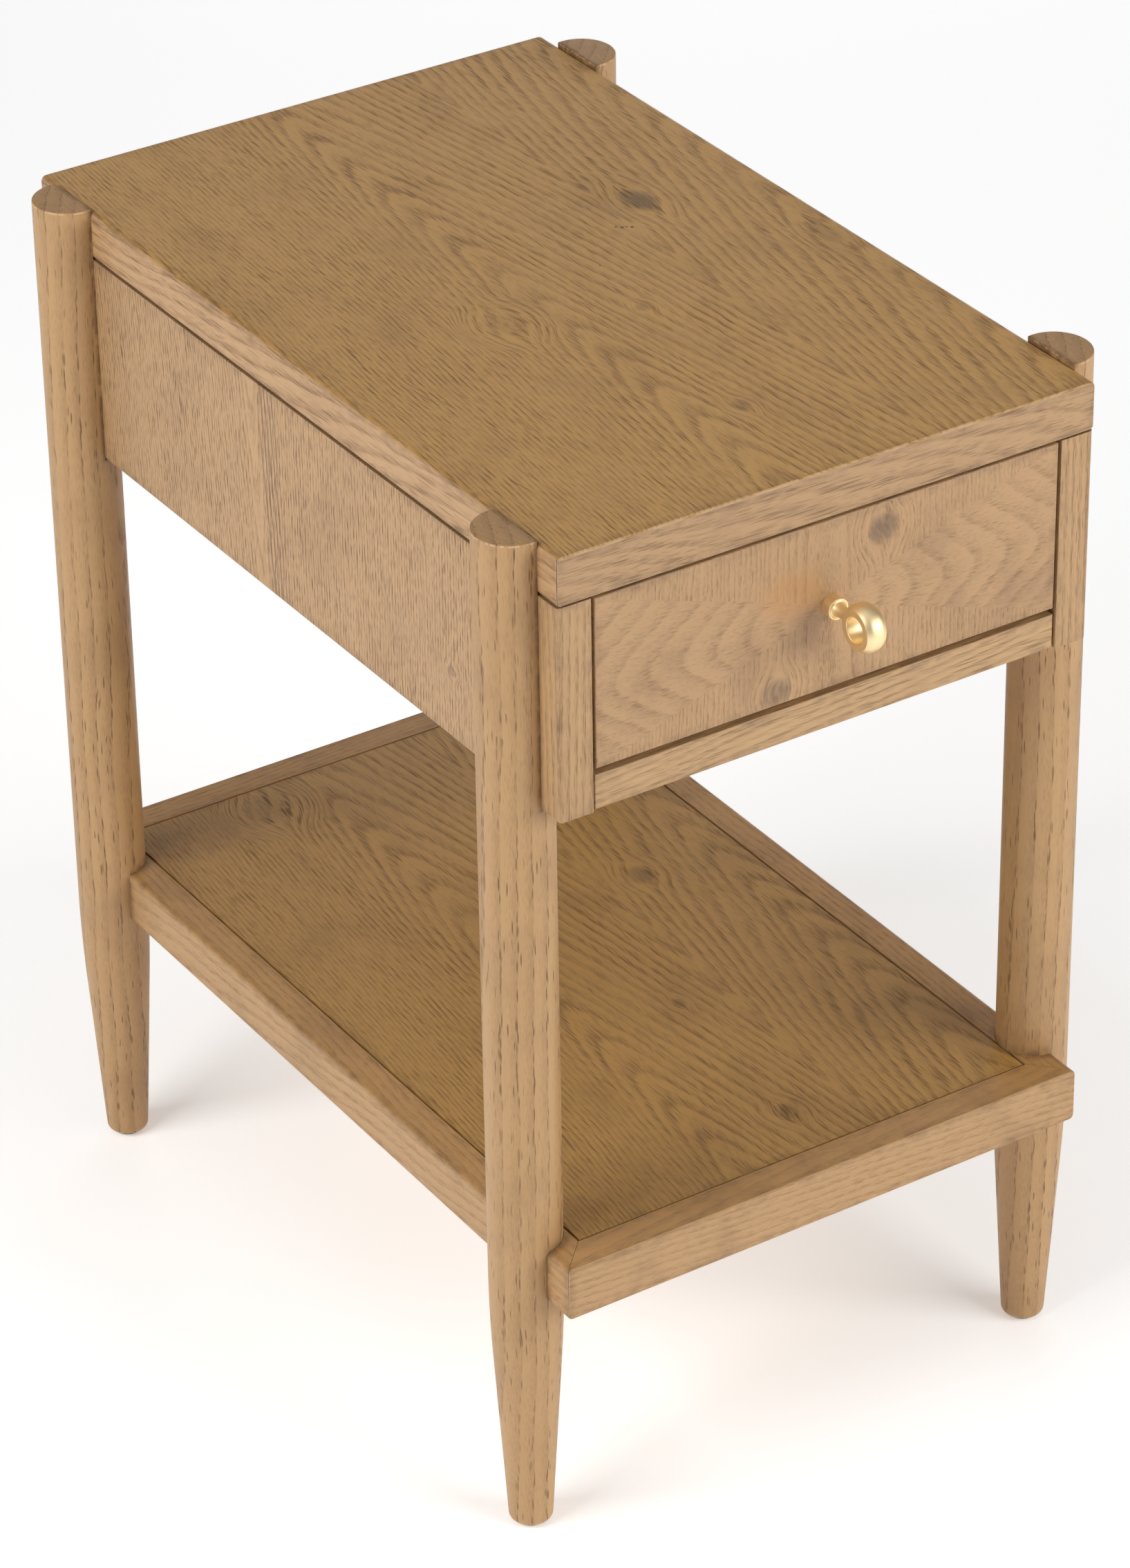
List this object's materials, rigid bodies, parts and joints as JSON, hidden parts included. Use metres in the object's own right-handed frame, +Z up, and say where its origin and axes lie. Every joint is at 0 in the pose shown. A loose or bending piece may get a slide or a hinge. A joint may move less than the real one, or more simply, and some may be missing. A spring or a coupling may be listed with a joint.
{
  "type": "side table with drawer",
  "caption": "Narrow side table with a flush drawer, a framed lower shelf and round tapered legs set outside the long sides of the top.",
  "frame": {"origin": "on the floor, under the middle of the table's box, knob included", "axes": "+X to the right as seen from the drawer, +Y from the drawer to the back, +Z up"},
  "size_m": [0.371, 0.563, 0.612],
  "materials": {
    "oak_top": "honey-brown oak with greyed pores, satin",
    "oak_leg": "lighter honey oak, straight grain, satin",
    "oak_panel": "lighter oak veneer with figured grain, satin",
    "oak_shelf": "honey-brown oak with greyed pores, satin",
    "core_board": "bare fibreboard",
    "drawer_wood": "pale clear-finished hardwood",
    "zinc_steel": "zinc-plated steel",
    "satin_gold": "satin brushed gold",
    "glide_nylon": "dark nylon"
  },
  "bodies": {
    "table": {"back_rail": "oak_panel", "corner_block_left": "drawer_wood", "corner_block_right": "drawer_wood", "glide_back_left": "glide_nylon", "glide_back_right": "glide_nylon", "glide_front_left": "glide_nylon", "glide_front_right": "glide_nylon", "leg_back_left": "oak_leg", "leg_back_right": "oak_leg", "leg_bolt_back_left": "zinc_steel", "leg_bolt_back_right": "zinc_steel", "leg_bolt_front_left": "zinc_steel", "leg_bolt_front_right": "zinc_steel", "leg_front_left": "oak_leg", "leg_front_right": "oak_leg", "lower_front_rail": "oak_panel", "post_back_left": "oak_panel", "post_back_right": "oak_panel", "post_front_left": "oak_panel", "post_front_right": "oak_panel", "runner_outer_left": "zinc_steel", "runner_outer_right": "zinc_steel", "shelf_dowel_back_left": "drawer_wood", "shelf_dowel_back_right": "drawer_wood", "shelf_dowel_front_left": "drawer_wood", "shelf_dowel_front_right": "drawer_wood", "shelf_panel": "oak_shelf", "shelf_rail_back": "oak_shelf", "shelf_rail_front": "oak_shelf", "shelf_rail_left": "oak_shelf", "shelf_rail_right": "oak_shelf", "shelf_return_back_left": "oak_shelf", "shelf_return_back_right": "oak_shelf", "shelf_return_front_left": "oak_shelf", "shelf_return_front_right": "oak_shelf", "side_panel_left": "oak_panel", "side_panel_right": "oak_panel", "top_cleat_left": "drawer_wood", "top_cleat_right": "drawer_wood", "top_core": "core_board", "top_lipping_back": "oak_top", "top_lipping_front": "oak_top", "top_lipping_left": "oak_top", "top_lipping_right": "oak_top", "top_veneer": "oak_top"},
    "drawer": {"drawer_back": "drawer_wood", "drawer_bottom": "drawer_wood", "drawer_box_front": "drawer_wood", "drawer_front": "core_board", "drawer_side_left": "drawer_wood", "drawer_side_right": "drawer_wood", "drawer_veneer": "oak_panel", "front_screw_left": "zinc_steel", "front_screw_right": "zinc_steel", "knob": "satin_gold", "knob_screw": "zinc_steel", "runner_inner_left": "zinc_steel", "runner_inner_right": "zinc_steel"},
    "ball_cages": {"ball_cage_left": "zinc_steel", "ball_cage_right": "zinc_steel"}
  },
  "joints": [
    {"name": "drawer_slide", "type": "slide", "parent": "table", "child": "drawer", "axis": [0, -1, 0], "range_m": [0, 0.29]},
    {"name": "cage_slide", "type": "slide", "parent": "table", "child": "ball_cages", "axis": [0, -1, 0], "range_m": [0, 0.145]}
  ],
  "couplings": [
    {"joint": "cage_slide", "follows": "drawer_slide", "ratio": 0.5}
  ]
}
